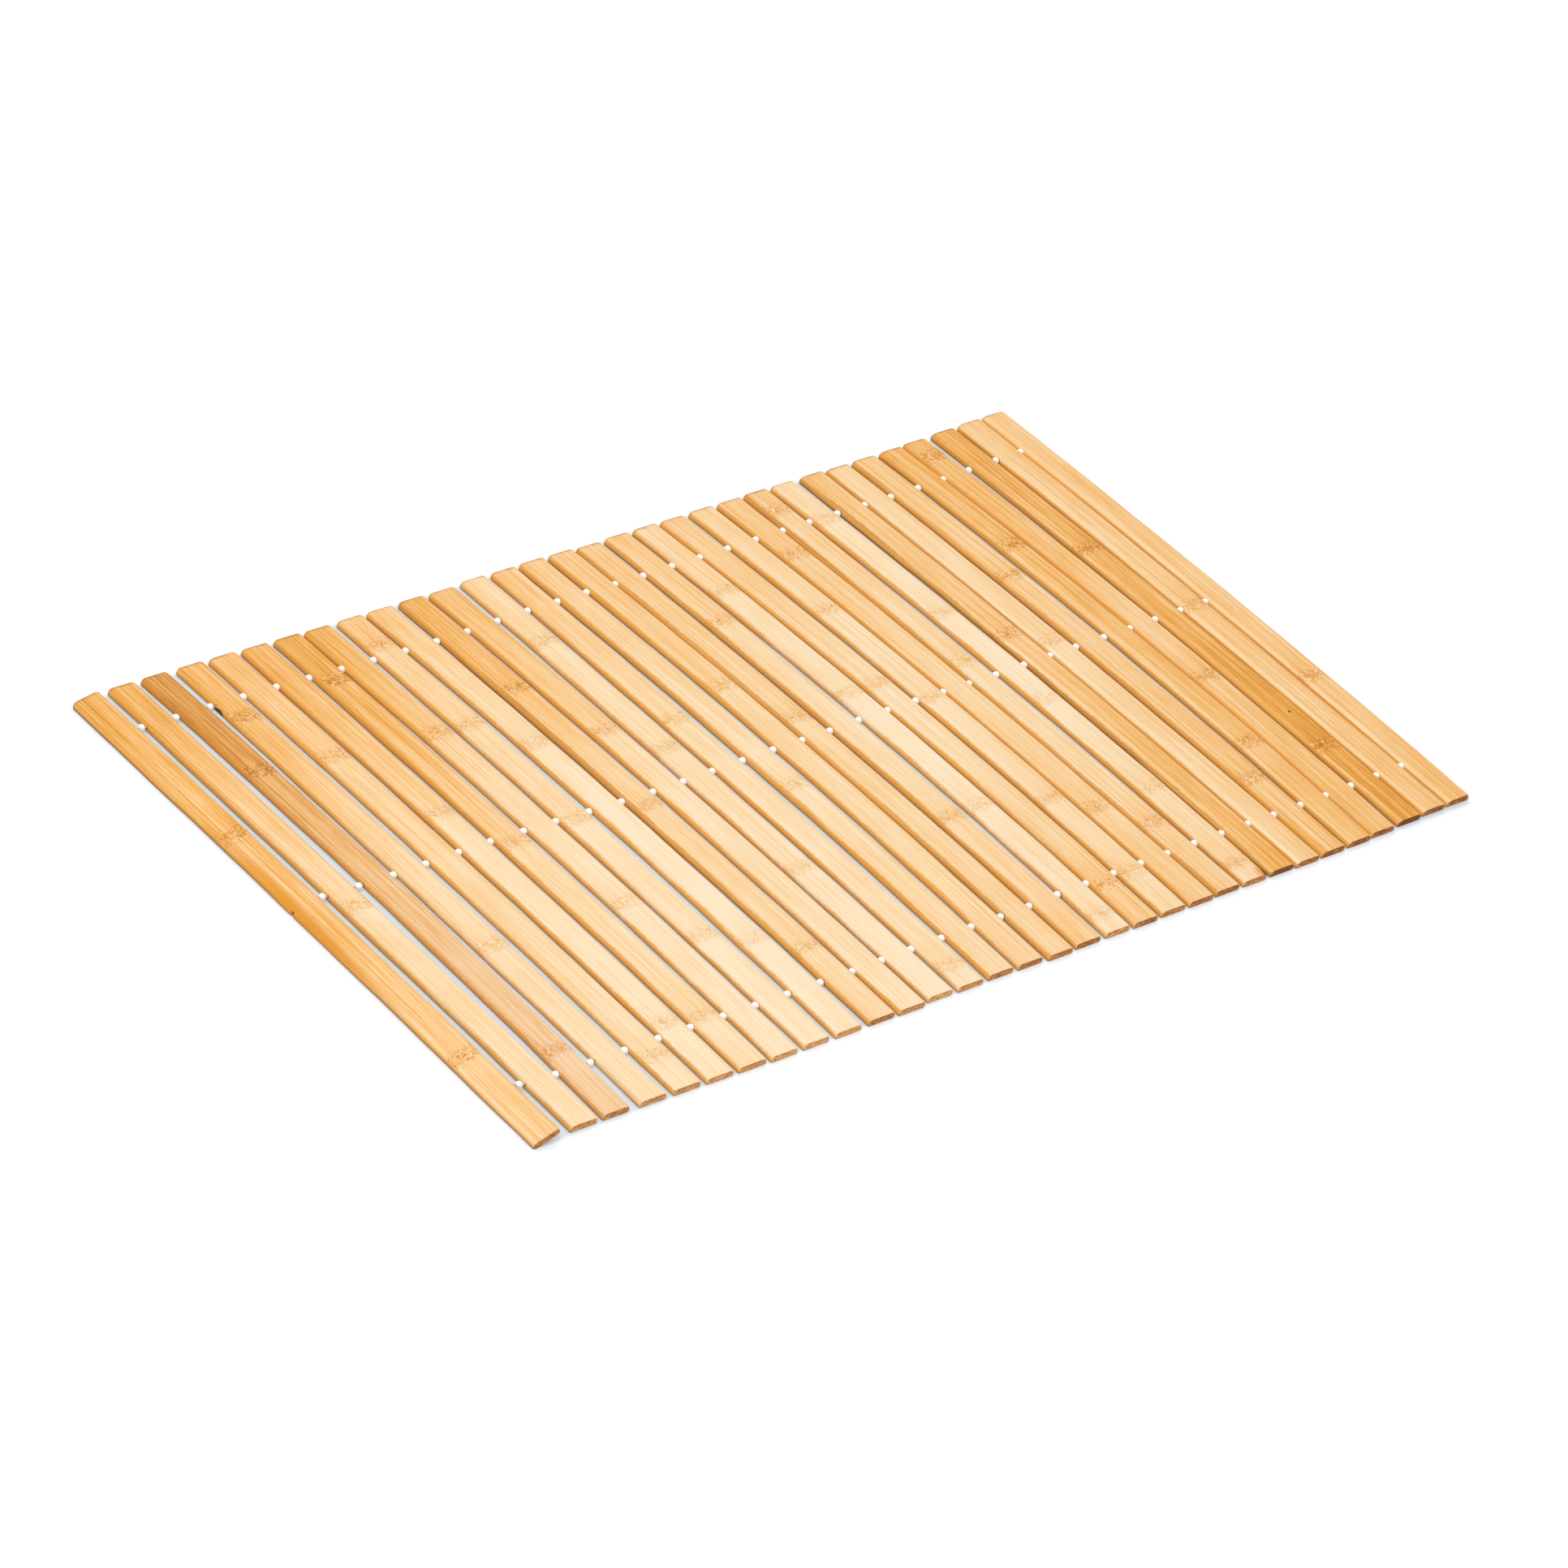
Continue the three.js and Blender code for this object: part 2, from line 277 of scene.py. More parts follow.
def wall_faces(rings, count, closed=False):
    """Quads between rings of points, with the last ring joined to the first one where it is closed."""
    faces = []
    for r in range(rings if closed else rings - 1):
        here, there = r * count, (r + 1) % rings * count
        for k in range(count):
            j = (k + 1) % count
            faces.append((here + k, here + j, there + j, there + k))
    return faces


def end_faces(rings, count):
    """The two polygons that close a tube of rings."""
    return [tuple(range(count))[::-1], tuple(range((rings - 1) * count, rings * count))]


def ring_about_x(centre, radius, sides):
    """Points of a circle about a line along X."""
    points = []
    for k in range(sides):
        turn = 2 * math.pi * k / sides
        points.append((centre[0], centre[1] + radius * math.cos(turn), centre[2] + radius * math.sin(turn)))
    return points


def joined(shapes):
    """Points and faces of several bodies as those of one."""
    points, faces = [], []
    for more, sides in shapes:
        faces += [tuple(i + len(points) for i in face) for face in sides]
        points += more
    return points, faces


def placed(name, mesh):
    piece = bpy.data.objects.new(name, mesh)
    bpy.context.scene.collection.objects.link(piece)
    return piece


# Slat geometry

def section(width, planed):
    """Across places of a slat's section from left to right, with the height of its top and of its bottom."""
    turn = np.linspace(0, math.pi / 2, SIDE_STEPS + 1)
    half = width / 2
    rounded = SIDE_DEPTH * (1 - np.cos(turn))
    flat = np.linspace(-half + SIDE_DEPTH, half - SIDE_DEPTH, TOP_COLUMNS + 1)
    across = np.concatenate([-half + rounded[:-1], flat, (half - rounded[:-1])[::-1]])
    widest = np.where(across < 0, *WIDEST)
    under = np.where(across < 0, *UNDER_DEPTH)
    top = widest + (THICKNESS / 2 - widest) * rounding(half - np.abs(across), SIDE_DEPTH)
    bottom = widest - (THICKNESS / 2 + widest) * rounding(half - np.abs(across), under)
    if planed:
        strip = THICKNESS / 2 - FACET_DROP * (1 - (across + half) / FACET_WIDTH)
        top = np.minimum(top, np.maximum(strip, widest))
    return across, top, bottom


def rounding(inside, depth):
    """How far a rounded side has risen, from 0 at its outermost line to 1 at `depth` inside it."""
    left = np.clip(1 - inside / depth, 0, 1)
    return (1 - left**FULLNESS) ** (1 / FULLNESS)


def ring_points(across, top, bottom):
    """The closed outline of a section, anticlockwise seen from the front, as (across, height) rows."""
    upper = np.stack([across, top], -1)
    lower = np.stack([across, bottom], -1)
    return np.concatenate([lower, upper[::-1][1:-1]])


def inward_of(outline):
    """Unit vectors that point into the section at each point of its outline."""
    along = np.roll(outline, -1, 0) - np.roll(outline, 1, 0)
    inward = np.stack([-along[:, 1], along[:, 0]], -1)
    return inward / np.linalg.norm(inward, axis=1, keepdims=True)


def stations(lie, knots, bites):
    """Places between the eased ends where the mesh has a ring, closer together at knots and bites."""
    first, last = lie.low + EASE_DEPTH, lie.high - EASE_DEPTH
    even = np.linspace(first, last, round((lie.high - lie.low) / STATION_GAP))
    even = [y for y in even if all(abs(y - k * MM) > KNOT_STATIONS[-1] + KNOT_ROOM for k in knots)]
    steps = np.linspace(-BITE_REACH, BITE_REACH, BITE_STATIONS)
    near = [k * MM + d for k in knots for d in KNOT_STATIONS]
    near += [(place + half * step) * MM for place, half, _ in bites for step in steps]
    near = [y for y in near if first < y < last]
    return np.array(sorted({round(y, 6) for y in [*even, *near]}))


def wave(y, chance):
    """A long side's own unevenness at each y."""
    turns = [2 * math.pi * y / length + chance.uniform(0, WAVE_START) for length, _ in WAVES]
    return sum(height * np.sin(turn) for (_, height), turn in zip(WAVES, turns))


def uneven_rings(lie, row, bites, outline, y, chance):
    """Across places and heights of the outline's points at each y, with waves, swollen knots and bites."""
    near = np.exp(-((y[:, None] - np.array(row["knots"]) * MM) / KNOT_SPREAD) ** 2).sum(1)
    left_wave, right_wave = wave(y, chance), wave(y, chance)
    swell = near * KNOT_RISE
    share = np.clip((outline[:, 0] + lie.width / 2) / lie.width, 0, 1)
    a = outline[None, :, 0] + left_wave[:, None] * (1 - share) + right_wave[:, None] * share
    a = a + swell[:, None] * (2 * share - 1)
    for place, half, depth in bites:
        ragged = 1 + BITE_RAGGED * np.sin(y / MM * BITE_RIPPLE)
        bite = np.exp(-((y / MM - place) / half) ** 4) * ragged * depth * MM
        a = a + bite[:, None] * np.clip(1 - share * lie.width / SIDE_DEPTH, 0, 1)
    h = outline[None, :, 1] + swell[:, None] * (outline[None, :, 1] > THICKNESS / 4)
    return a, h


def with_eased_ends(lie, outline, y, a, h):
    """The rings with more of them at both ends, drawn in towards the sawn faces."""
    corner = np.clip(np.abs(outline[:, 0]) - lie.width / 2 + SIDE_DEPTH, 0, None) / SIDE_DEPTH
    ease = inward_of(outline) * END_EASE
    ease[:, 0] -= np.sign(outline[:, 0]) * corner * CORNER_EASE
    turn = np.linspace(0, math.pi / 2, EASE_STEPS + 1)[:-1, None]
    depth = EASE_DEPTH * (1 - np.cos(turn[:, 0]))
    less = 1 - np.sin(turn)
    front, back = less * FRONT_SHARE, less[::-1]
    y = np.concatenate([lie.low + depth, y, lie.high - depth[::-1]])
    a = np.concatenate([a[0] + front * ease[:, 0], a, a[-1] + back * ease[:, 0]])
    h = np.concatenate([h[0] + front * ease[:, 1], h, h[-1] + back * ease[:, 1]])
    return y, a, h


def cap_faces(columns, start, far):
    """Quads across a sawn end, each between a column of its lower and its upper edge."""
    count = 2 * columns - 2
    lower = list(range(columns))
    upper = [0] + [count - k for k in range(1, columns - 1)] + [columns - 1]
    faces = []
    for k in range(columns - 1):
        face = [lower[k], upper[k], upper[k + 1], lower[k + 1]]
        face = [start + i for n, i in enumerate(face) if i not in face[:n]]
        faces.append(tuple(face[::-1] if far else face))
    return faces


def slat_mesh(name, lie, row, bites, chance):
    """The slat as a mesh, with its sawn ends in its second material."""
    across, top, bottom = section(lie.width, row["planed"])
    outline = ring_points(across, top, bottom)
    y = stations(lie, row["knots"], bites)
    a, h = uneven_rings(lie, row, bites, outline, y, chance)
    y, a, h = with_eased_ends(lie, outline, y, a, h)
    middle, side, up = lie.axes(y)
    points = middle[:, None, :] + a[..., None] * side[:, None, :] + h[..., None] * up[:, None, :]
    points[..., 2] = np.maximum(points[..., 2], 0)  # the tipped slat's lower edge is flat on the floor
    rings, count = a.shape
    faces = wall_faces(rings, count)
    walls = len(faces)
    faces += cap_faces(len(across), 0, False)
    faces += cap_faces(len(across), (rings - 1) * count, True)
    mesh = bpy.data.meshes.new(name)
    mesh.from_pydata(points.reshape(-1, 3), [], faces)
    for k in range(walls, len(faces)):
        mesh.polygons[k].material_index = 1
    return mesh


def cutter_rings(n, strung, chipped):
    """The hole through slat n on a cord's line: a bore with flared mouths, blind in the two end slats."""
    beads = strung.beads
    bore = FLARE[-1][1]
    near = [(strung.line[0, 0] - BLIND_ROOM, bore)]
    if n > 0:
        near = [(beads[n - 1].x + off, radius) for off, radius in (CHIPPED_FLARE if chipped else FLARE)]
    far = [(strung.line[-1, 0] + BLIND_ROOM, bore)]
    if n < len(beads):
        far = [(beads[n].x - off, radius) for off, radius in FLARE[::-1]]
    first, last = near[-1][0] + RING_GAP, far[0][0] - RING_GAP
    between = [(x, bore) for x in strung.line[:, 0] if first < x < last]
    return [(strung.at(x), radius) for x, radius in (*near, *between, *far)]


def hole_shape(rings):
    """A closed body of rings, each a centre and a radius."""
    points = [point for centre, radius in rings for point in ring_about_x(centre, radius, HOLE_SIDES)]
    return points, wall_faces(len(rings), HOLE_SIDES) + end_faces(len(rings), HOLE_SIDES)


def drill(slat, n, rows):
    """Cuts the three holes out of a slat, with their walls in its third material."""
    holes = []
    for name, strung in rows.items():
        chipped = n + 1 in CHIPPED[name.split("_")[-1]]
        holes.append(hole_shape(cutter_rings(n, strung, chipped)))
    points, faces = joined(holes)
    mesh = bpy.data.meshes.new("cutter")
    mesh.from_pydata(points, [], faces)
    for polygon in mesh.polygons:
        polygon.material_index = 2
    for material in slat.data.materials:
        mesh.materials.append(material)
    cutter = placed("cutter", mesh)
    cut = slat.modifiers.new("holes", "BOOLEAN")
    cut.operation = "DIFFERENCE"
    cut.solver = "MANIFOLD"
    cut.object = cutter
    bpy.context.view_layer.update()
    graph = bpy.context.evaluated_depsgraph_get()
    made = bpy.data.meshes.new_from_object(slat.evaluated_get(graph))
    slat.modifiers.clear()
    slat.data = made
    bpy.data.objects.remove(cutter)


# Beads and cords

def bead_shape(centre):
    """A round bead bored along X: rings over its outside, and back through its hole."""
    start = math.acos(BEAD_HOLE / BEAD_RADIUS)
    points = []
    for turn in np.linspace(start, -start, BEAD_RINGS):
        middle = (centre.x - BEAD_RADIUS * math.sin(turn), centre.y, centre.z)
        points += ring_about_x(middle, BEAD_RADIUS * math.cos(turn), BEAD_SIDES)
    return points, wall_faces(BEAD_RINGS, BEAD_SIDES, closed=True)


def cord_shape(line):
    """A two-ply cord along a line of points."""
    run = np.concatenate([[0], np.cumsum(np.linalg.norm(np.diff(line, axis=0), axis=1))])
    lengths = np.linspace(0, run[-1], round(run[-1] / CORD_STEP) + 1)
    middles = np.stack([np.interp(lengths, run, line[:, axis]) for axis in range(3)], -1)
    ahead = np.gradient(middles, axis=0)
    points = []
    for length, middle, way in zip(lengths, middles, ahead):
        way = Vector(way).normalized()
        up = way.cross(Vector((0, 1, 0))).normalized()
        side = up.cross(way)
        twist = 2 * math.pi * length / CORD_PLY_TURN
        for k in range(CORD_SIDES):
            turn = 2 * math.pi * k / CORD_SIDES
            radius = CORD_RADIUS - CORD_PLY_DEPTH * math.cos(turn - twist) ** 2
            points.append(Vector(middle) + radius * (side * math.cos(turn) + up * math.sin(turn)))
    return points, wall_faces(len(lengths), CORD_SIDES) + end_faces(len(lengths), CORD_SIDES)


def strung_row(name, strung, materials):
    """One cord with all its beads as a single piece, the beads in its first material."""
    cord = cord_shape(strung.line)
    points, faces = joined([*(bead_shape(middle) for middle in strung.beads), cord])
    mesh = bpy.data.meshes.new(name)
    mesh.from_pydata(points, [], faces)
    for material in materials:
        mesh.materials.append(material)
    of_cord = len(cord[1])
    kinds = [0] * (len(faces) - of_cord) + [1] * of_cord
    mesh.polygons.foreach_set("material_index", kinds)
    return placed(name, mesh)


# What the materials read from a slat's mesh

GRAIN_STEP = (131 * MM, 877 * MM, 0.0)  # from slat to slat, so that no two have the same grain


def grain_places(marks, lies):
    """Each mark's middle in grain places, with half its width, half its length and half its width again."""
    places = []
    for number, x, y, z, wide, long in marks:
        n, lie = number - 1, lies[number - 1]
        place = Vector((x * MM - lie.width / 2, y * MM - lie.middle, z * MM)) + Vector(GRAIN_STEP) * n
        places.append((place, (wide * MM, long * MM, wide * MM)))
    return places


def put(mesh, name, kind, key, values):
    layer = mesh.attributes.new(name, kind, "POINT")
    layer.data.foreach_set(key, np.ascontiguousarray(values, np.float32).ravel())


def paint(slat, n, lie, row):
    """Stores for each point its place in the grain, its tone with a painted light falloff and painted
    highlight, its distances to knots and edges, and how much painted shade its sides get.
    """
    mesh = slat.data
    points = np.zeros(len(mesh.vertices) * 3, np.float32)
    mesh.vertices.foreach_get("co", points)
    points = points.reshape(-1, 3).astype(float)
    middle, side, up = lie.axes(points[:, 1])
    away = points - middle
    across = (away * side).sum(1)
    height = (away * up).sum(1)
    along = points[:, 1] - lie.middle
    grain = np.stack([across, along, height], -1) + np.array(GRAIN_STEP) * n
    put(mesh, "grain", "FLOAT_VECTOR", "vector", grain)
    off = points[:, 1:2] - np.array(row["knots"]) * MM
    nearest = off[np.arange(len(off)), np.abs(off).argmin(1)]
    put(mesh, "knot", "FLOAT", "value", np.abs(nearest))
    put(mesh, "past", "FLOAT", "value", np.clip(nearest / PAST_REACH, -1, 1))
    share = along / (lie.high - lie.low) + 0.5
    # the tone from front to back carries a painted light falloff as well as the slat's own colour
    tone = np.interp(share, TONE_PLACES, [TONES[row[k]] for k in ("front", "middle", "back")])
    left, right = across + lie.width / 2, lie.width / 2 - across
    strip = np.interp(left, STRIP_PLACES, (0, 1, 1, 0)) * row["planed"]
    strip *= np.interp(share, (0, 0.5, 1), STRIP_SHARES)
    # the planed strip's painted highlight makes the tone paler there
    put(mesh, "tone", "FLOAT", "value", tone - STRIP_HIGHLIGHT * strip)
    put(mesh, "rim", "FLOAT", "value", lie.high - points[:, 1])
    put(mesh, "left", "FLOAT", "value", left + strip * STRIP_CLEAR)
    put(mesh, "right", "FLOAT", "value", right)
    # how deep the painted shade on the left side is, less towards the front
    put(mesh, "side", "FLOAT", "value", row["side"] - FRONT_SIDE_LESS * (1 - share))
    # under: painted shade on the lower part of each side, raised on the edge-shaded slat
    under = np.clip(0.5 - height / THICKNESS + EDGE_SHADE * (n == EDGE_SHADED_SLAT), 0, 1)
    put(mesh, "under", "FLOAT", "value", under)


# Shader nodes

def new_material(name):
    material = bpy.data.materials.new(name)
    material.use_nodes = True
    tree = material.node_tree
    return material, tree, tree.nodes["Principled BSDF"]


def add(tree, kind, inputs=None, **settings):
    """A shader node. Inputs are numbers, colours or other nodes' outputs."""
    node = tree.nodes.new("ShaderNode" + kind)
    for key, value in settings.items():
        setattr(node, key, value)
    for key, value in (inputs or {}).items():
        if isinstance(value, bpy.types.NodeSocket):
            tree.links.new(value, node.inputs[key])
        else:
            node.inputs[key].default_value = value
    return node


def attribute(tree, name, output="Fac"):
    return add(tree, "Attribute", attribute_name=name).outputs[output]


def maths(tree, operation, a, b):
    return add(tree, "Math", {0: a, 1: b}, operation=operation).outputs[0]


def vector_maths(tree, operation, a, *b):
    return add(tree, "VectorMath", dict(enumerate((a, *b))), operation=operation).outputs[0]


def product(tree, *values):
    result = values[0]
    for value in values[1:]:
        result = maths(tree, "MULTIPLY", result, value)
    return result


def total(tree, *values):
    result = values[0]
    for value in values[1:]:
        result = maths(tree, "ADD", result, value)
    return result


def scaled(tree, vector, sizes):
    """The vector in units of the given sizes, in metres."""
    return vector_maths(tree, "MULTIPLY", vector, tuple(1 / s for s in sizes))


def noise(tree, vector, sizes, detail=2.0, distortion=0.0):
    place = scaled(tree, vector, sizes)
    inputs = {"Vector": place, "Scale": 1.0, "Detail": detail, "Distortion": distortion, "Roughness": 0.5}
    return add(tree, "TexNoise", inputs, noise_dimensions="3D").outputs["Fac"]


def remap(tree, value, low, high, to_low=0.0, to_high=1.0, smooth=False):
    kind = "SMOOTHSTEP" if smooth else "LINEAR"
    inputs = {"Value": value, "From Min": low, "From Max": high, "To Min": to_low, "To Max": to_high}
    return add(tree, "MapRange", inputs, interpolation_type=kind).outputs["Result"]


def mix(tree, factor, a, b, blend="MIX"):
    node = add(tree, "Mix", data_type="RGBA", blend_type=blend)
    for key, value in (("Factor_Float", factor), ("A_Color", a), ("B_Color", b)):
        socket = next(s for s in node.inputs if s.identifier == key)
        if isinstance(value, bpy.types.NodeSocket):
            tree.links.new(value, socket)
        else:
            socket.default_value = value
    return next(s for s in node.outputs if s.identifier == "Result_Color")


def ramp(tree, value, stops):
    node = add(tree, "ValToRGB", {"Fac": value})
    elements = node.color_ramp.elements
    while len(elements) < len(stops):
        elements.new(0.5)
    for element, (place, colour) in zip(elements, stops):
        element.position = place
        element.color = (*colour, 1)
    return node.outputs["Color"]


def roughen(tree, shader, height, strength, distance):
    """Fine relief from a height."""
    bump = add(tree, "Bump", {"Height": height, "Strength": strength, "Distance": distance})
    tree.links.new(bump.outputs["Normal"], shader.inputs["Normal"])


# Bamboo: the colours of its tones, from the palest to the deepest, of the painted shade on its sides and
# back end, and of what lies on it
BAMBOO_RAMP = (
    (0.00, (0.825, 0.665, 0.460)),
    (0.27, (0.800, 0.545, 0.285)),
    (0.50, (0.775, 0.430, 0.148)),
    (0.77, (0.700, 0.310, 0.036)),
    (1.00, (0.560, 0.215, 0.020)),
)
RUSSET_RAMP = (
    (0.00, (0.790, 0.560, 0.370)),
    (0.27, (0.760, 0.490, 0.265)),
    (0.50, (0.700, 0.370, 0.118)),
    (0.77, (0.600, 0.248, 0.031)),
    (1.00, (0.420, 0.150, 0.024)),
)
# Painted shade and bounce light on the slats' rounded sides, deeper on the russet slat
SIDE_SHADE_COLOUR = (0.760, 0.355, 0.062, 1)
RUSSET_SIDE_SHADE = (0.640, 0.270, 0.050, 1)
# Painted shade on the lower parts of the sides and at the back ends
SHADE_DARK = (0.290, 0.110, 0.024, 1)
AMBER_COLOUR = (0.650, 0.250, 0.012, 1)
STROKE_COLOUR = (0.800, 0.620, 0.380, 1)
# dark marks, and painted shade in chips and chipped hole mouths
MARK_AND_SHADE_COLOUR = (0.060, 0.018, 0.008, 1)

# Sizes of the noises in it: across the slat, along it and in height
UNEVEN = (3.2 * MM, 4.0 * MM, 3.2 * MM)
SWIRL = (7.0 * MM, 2.4 * MM, 7.0 * MM)
SQUIGGLE = (0.75 * MM, 3.2 * MM, 0.8 * MM)
PATCH = (17 * MM, 60 * MM, 20 * MM)
BROAD = (6.5 * MM, 310 * MM, 6 * MM)
STREAK = (2.1 * MM, 240 * MM, 2.1 * MM)
THREAD = (0.9 * MM, 150 * MM, 0.9 * MM)
FIBRE = (0.34 * MM, 22 * MM, 0.34 * MM)

# Distances from a knot or an edge at which a change begins, and at which it is complete
TANGLE = (10 * MM, 3 * MM)  # the fibres at a knot are bent and tangled
BAND = (8 * MM, 2 * MM)  # a deeper band lies across the slat at a knot
STEP = (45 * MM, 0.0)  # the slat is deeper on the back side of a knot than on the front side
SEAM = (1.1 * MM, 0.3 * MM)  # a thin dark line lies in the middle of a knot
# Painted shade along the right edge and at the back end
RIGHT_EDGE_SHADE = (1.4 * MM, 0.4 * MM)
BACK_RIM_SHADE = (3.0 * MM, 0.2 * MM)

BEND = (0.25 * MM, 6.5 * MM)  # how far the fibres are bent sideways, away from knots and at them


def bamboo_grain(tree):
    """The noises that bamboo is drawn with. The fibres are bent out of line near the knots."""
    grain = attribute(tree, "grain", "Vector")
    near = remap(tree, attribute(tree, "knot"), *TANGLE, smooth=True)
    uneven = noise(tree, grain, UNEVEN)
    swirl = noise(tree, grain, SWIRL, detail=1.0)
    reach = remap(tree, near, 0, 1, *BEND)
    push = product(tree, total(tree, uneven, swirl, -1.0), reach)
    shift = add(tree, "CombineXYZ", {"X": push}).outputs[0]
    bent = vector_maths(tree, "ADD", grain, shift)
    squiggle = noise(tree, bent, SQUIGGLE, detail=1.0, distortion=0.9)
    return SimpleNamespace(
        place=grain,
        uneven=uneven,
        patch=noise(tree, grain, PATCH, detail=1.0),
        broad=noise(tree, bent, BROAD, detail=1.0),
        streak=noise(tree, bent, STREAK, detail=1.0),
        thread=noise(tree, bent, THREAD, detail=1.0),
        fibre=noise(tree, bent, FIBRE),
        dark=product(tree, remap(tree, squiggle, 0.50, 0.60, smooth=True), near),
        light=product(tree, remap(tree, squiggle, 0.47, 0.36, smooth=True), near),
    )


def bamboo_colour(tree, grain, colours):
    """The slat's tone, partly its own and partly a painted light falloff, with its fibres, and with a band,
    a step in tone and tangled strokes at knots.
    """
    own, knot = attribute(tree, "tone"), attribute(tree, "knot")
    fibres = total(
        tree,
        remap(tree, grain.streak, 0.36, 0.64, -0.06, 0.06),
        remap(tree, grain.thread, 0.36, 0.64, -0.13, 0.13),
        remap(tree, grain.fibre, 0.36, 0.64, -0.12, 0.12),
    )
    ragged = remap(tree, grain.patch, 0.3, 0.7, -2 * MM, 2 * MM)
    band = remap(tree, total(tree, knot, ragged), *BAND, smooth=True)
    step = product(tree, attribute(tree, "past"), remap(tree, knot, *STEP, smooth=True))
    line = remap(tree, knot, *SEAM, smooth=True)
    seam = product(tree, line, remap(tree, grain.uneven, 0.35, 0.6))
    strong = remap(tree, own, 0.2, 0.75, 0.45, 1.0)
    tone = total(
        tree,
        own,
        remap(tree, grain.broad, 0.35, 0.65, -0.05, 0.05),
        remap(tree, grain.patch, 0.35, 0.65, -0.05, 0.05),
        product(tree, fibres, remap(tree, own, 0.3, 0.9, 0.9, 1.7)),
        product(tree, band, 0.08),
        product(tree, step, 0.07),
        product(tree, grain.dark, strong, 0.30),
        product(tree, grain.light, strong, -0.34),
        product(tree, seam, strong, 0.25),
    )
    colour = ramp(tree, product(tree, tone, 1 / TONE_REACH), colours)
    return mix(tree, product(tree, grain.dark, strong), colour, STROKE_COLOUR, "MULTIPLY")


def shaded_edges(tree, grain, colour, side_shade_colour):
    """The colour with painted shade: deep on the left side and darker on its lower part, on the right edge
    and at the back end.
    """
    side, under = attribute(tree, "side"), attribute(tree, "under")
    waver = total(
        tree,
        remap(tree, grain.uneven, 0.3, 0.7, -0.3 * MM, 0.3 * MM),
        remap(tree, grain.patch, 0.3, 0.7, -0.7 * MM, 0.7 * MM),
    )
    width = remap(tree, side, 0.0, 1.0, SIDE_SHADE_WIDTH[0], sum(SIDE_SHADE_WIDTH))
    # deep: the painted shade band along the left side, as wide as side sets it
    beyond = total(tree, attribute(tree, "left"), waver, product(tree, width, -1.0))
    deep = remap(tree, beyond, SIDE_BLUR, -SIDE_BLUR, smooth=True)
    deep = product(tree, deep, remap(tree, grain.streak, 0.3, 0.7, 0.80, 1.0))
    colour = mix(tree, deep, colour, side_shade_colour)
    threads = remap(tree, grain.thread, 0.4, 0.6, 0.35, 1.0)
    shade = product(tree, deep, remap(tree, side, 0.3, 1.0, 0.0, 0.7), threads)
    # painted shade, deeper towards the bottom of each side
    shade = total(tree, shade, remap(tree, under, 0.4, 1.1, 0.0, 1.0, smooth=True))
    colour = mix(tree, shade, colour, SHADE_DARK)
    # painted shade along the right edge, and a darker painted shade at the back end
    right = remap(tree, total(tree, attribute(tree, "right"), waver), *RIGHT_EDGE_SHADE, smooth=True)
    colour = mix(tree, product(tree, right, 0.35), colour, side_shade_colour)
    rim = remap(tree, total(tree, attribute(tree, "rim"), waver), *BACK_RIM_SHADE, smooth=True)
    return mix(tree, product(tree, rim, 0.5), colour, SHADE_DARK)


def marked(tree, place, marks, ragged, outer, inner):
    """How much of the marks lies at a place: none beyond `outer` times their size, all within `inner`."""
    most = 0.0
    for middle, sizes in marks:
        away = scaled(tree, vector_maths(tree, "SUBTRACT", place, tuple(middle)), sizes)
        far = add(tree, "VectorMath", {0: away}, operation="LENGTH").outputs["Value"]
        near = remap(tree, total(tree, far, ragged), outer, inner, smooth=True)
        most = maths(tree, "MAXIMUM", most, near)
    return most


def bamboo(name, colours, side_shade_colour, marks, stains):
    """Planed bamboo, with its stains, dark marks and painted shade in chips and hole mouths."""
    material, tree, shader = new_material(name)
    grain = bamboo_grain(tree)
    colour = shaded_edges(tree, grain, bamboo_colour(tree, grain, colours), side_shade_colour)
    ragged = remap(tree, grain.streak, 0.3, 0.7, -0.25, 0.25)
    stain = marked(tree, grain.place, stains, ragged, 1.2, 0.2)
    colour = mix(tree, product(tree, stain, 0.9), colour, AMBER_COLOUR)
    ragged = remap(tree, grain.uneven, 0.3, 0.7, -0.2, 0.2)
    # a burn and a speck, and painted shade in chips and chipped hole mouths
    blot_and_shade = marked(tree, grain.place, marks, ragged, 1.2, 0.7)
    colour = mix(tree, product(tree, blot_and_shade, 0.92), colour, MARK_AND_SHADE_COLOUR)
    tree.links.new(colour, shader.inputs["Base Color"])
    tree.links.new(remap(tree, grain.fibre, 0.3, 0.7, 0.44, 0.60), shader.inputs["Roughness"])
    shader.inputs["IOR"].default_value = 1.45
    shader.inputs["Specular IOR Level"].default_value = 0.2
    height = total(
        tree,
        product(tree, grain.fibre, 0.5),
        product(tree, grain.thread, 0.6),
        product(tree, grain.dark, -0.8),
    )
    roughen(tree, shader, height, 0.4, 0.12 * MM)
    return material


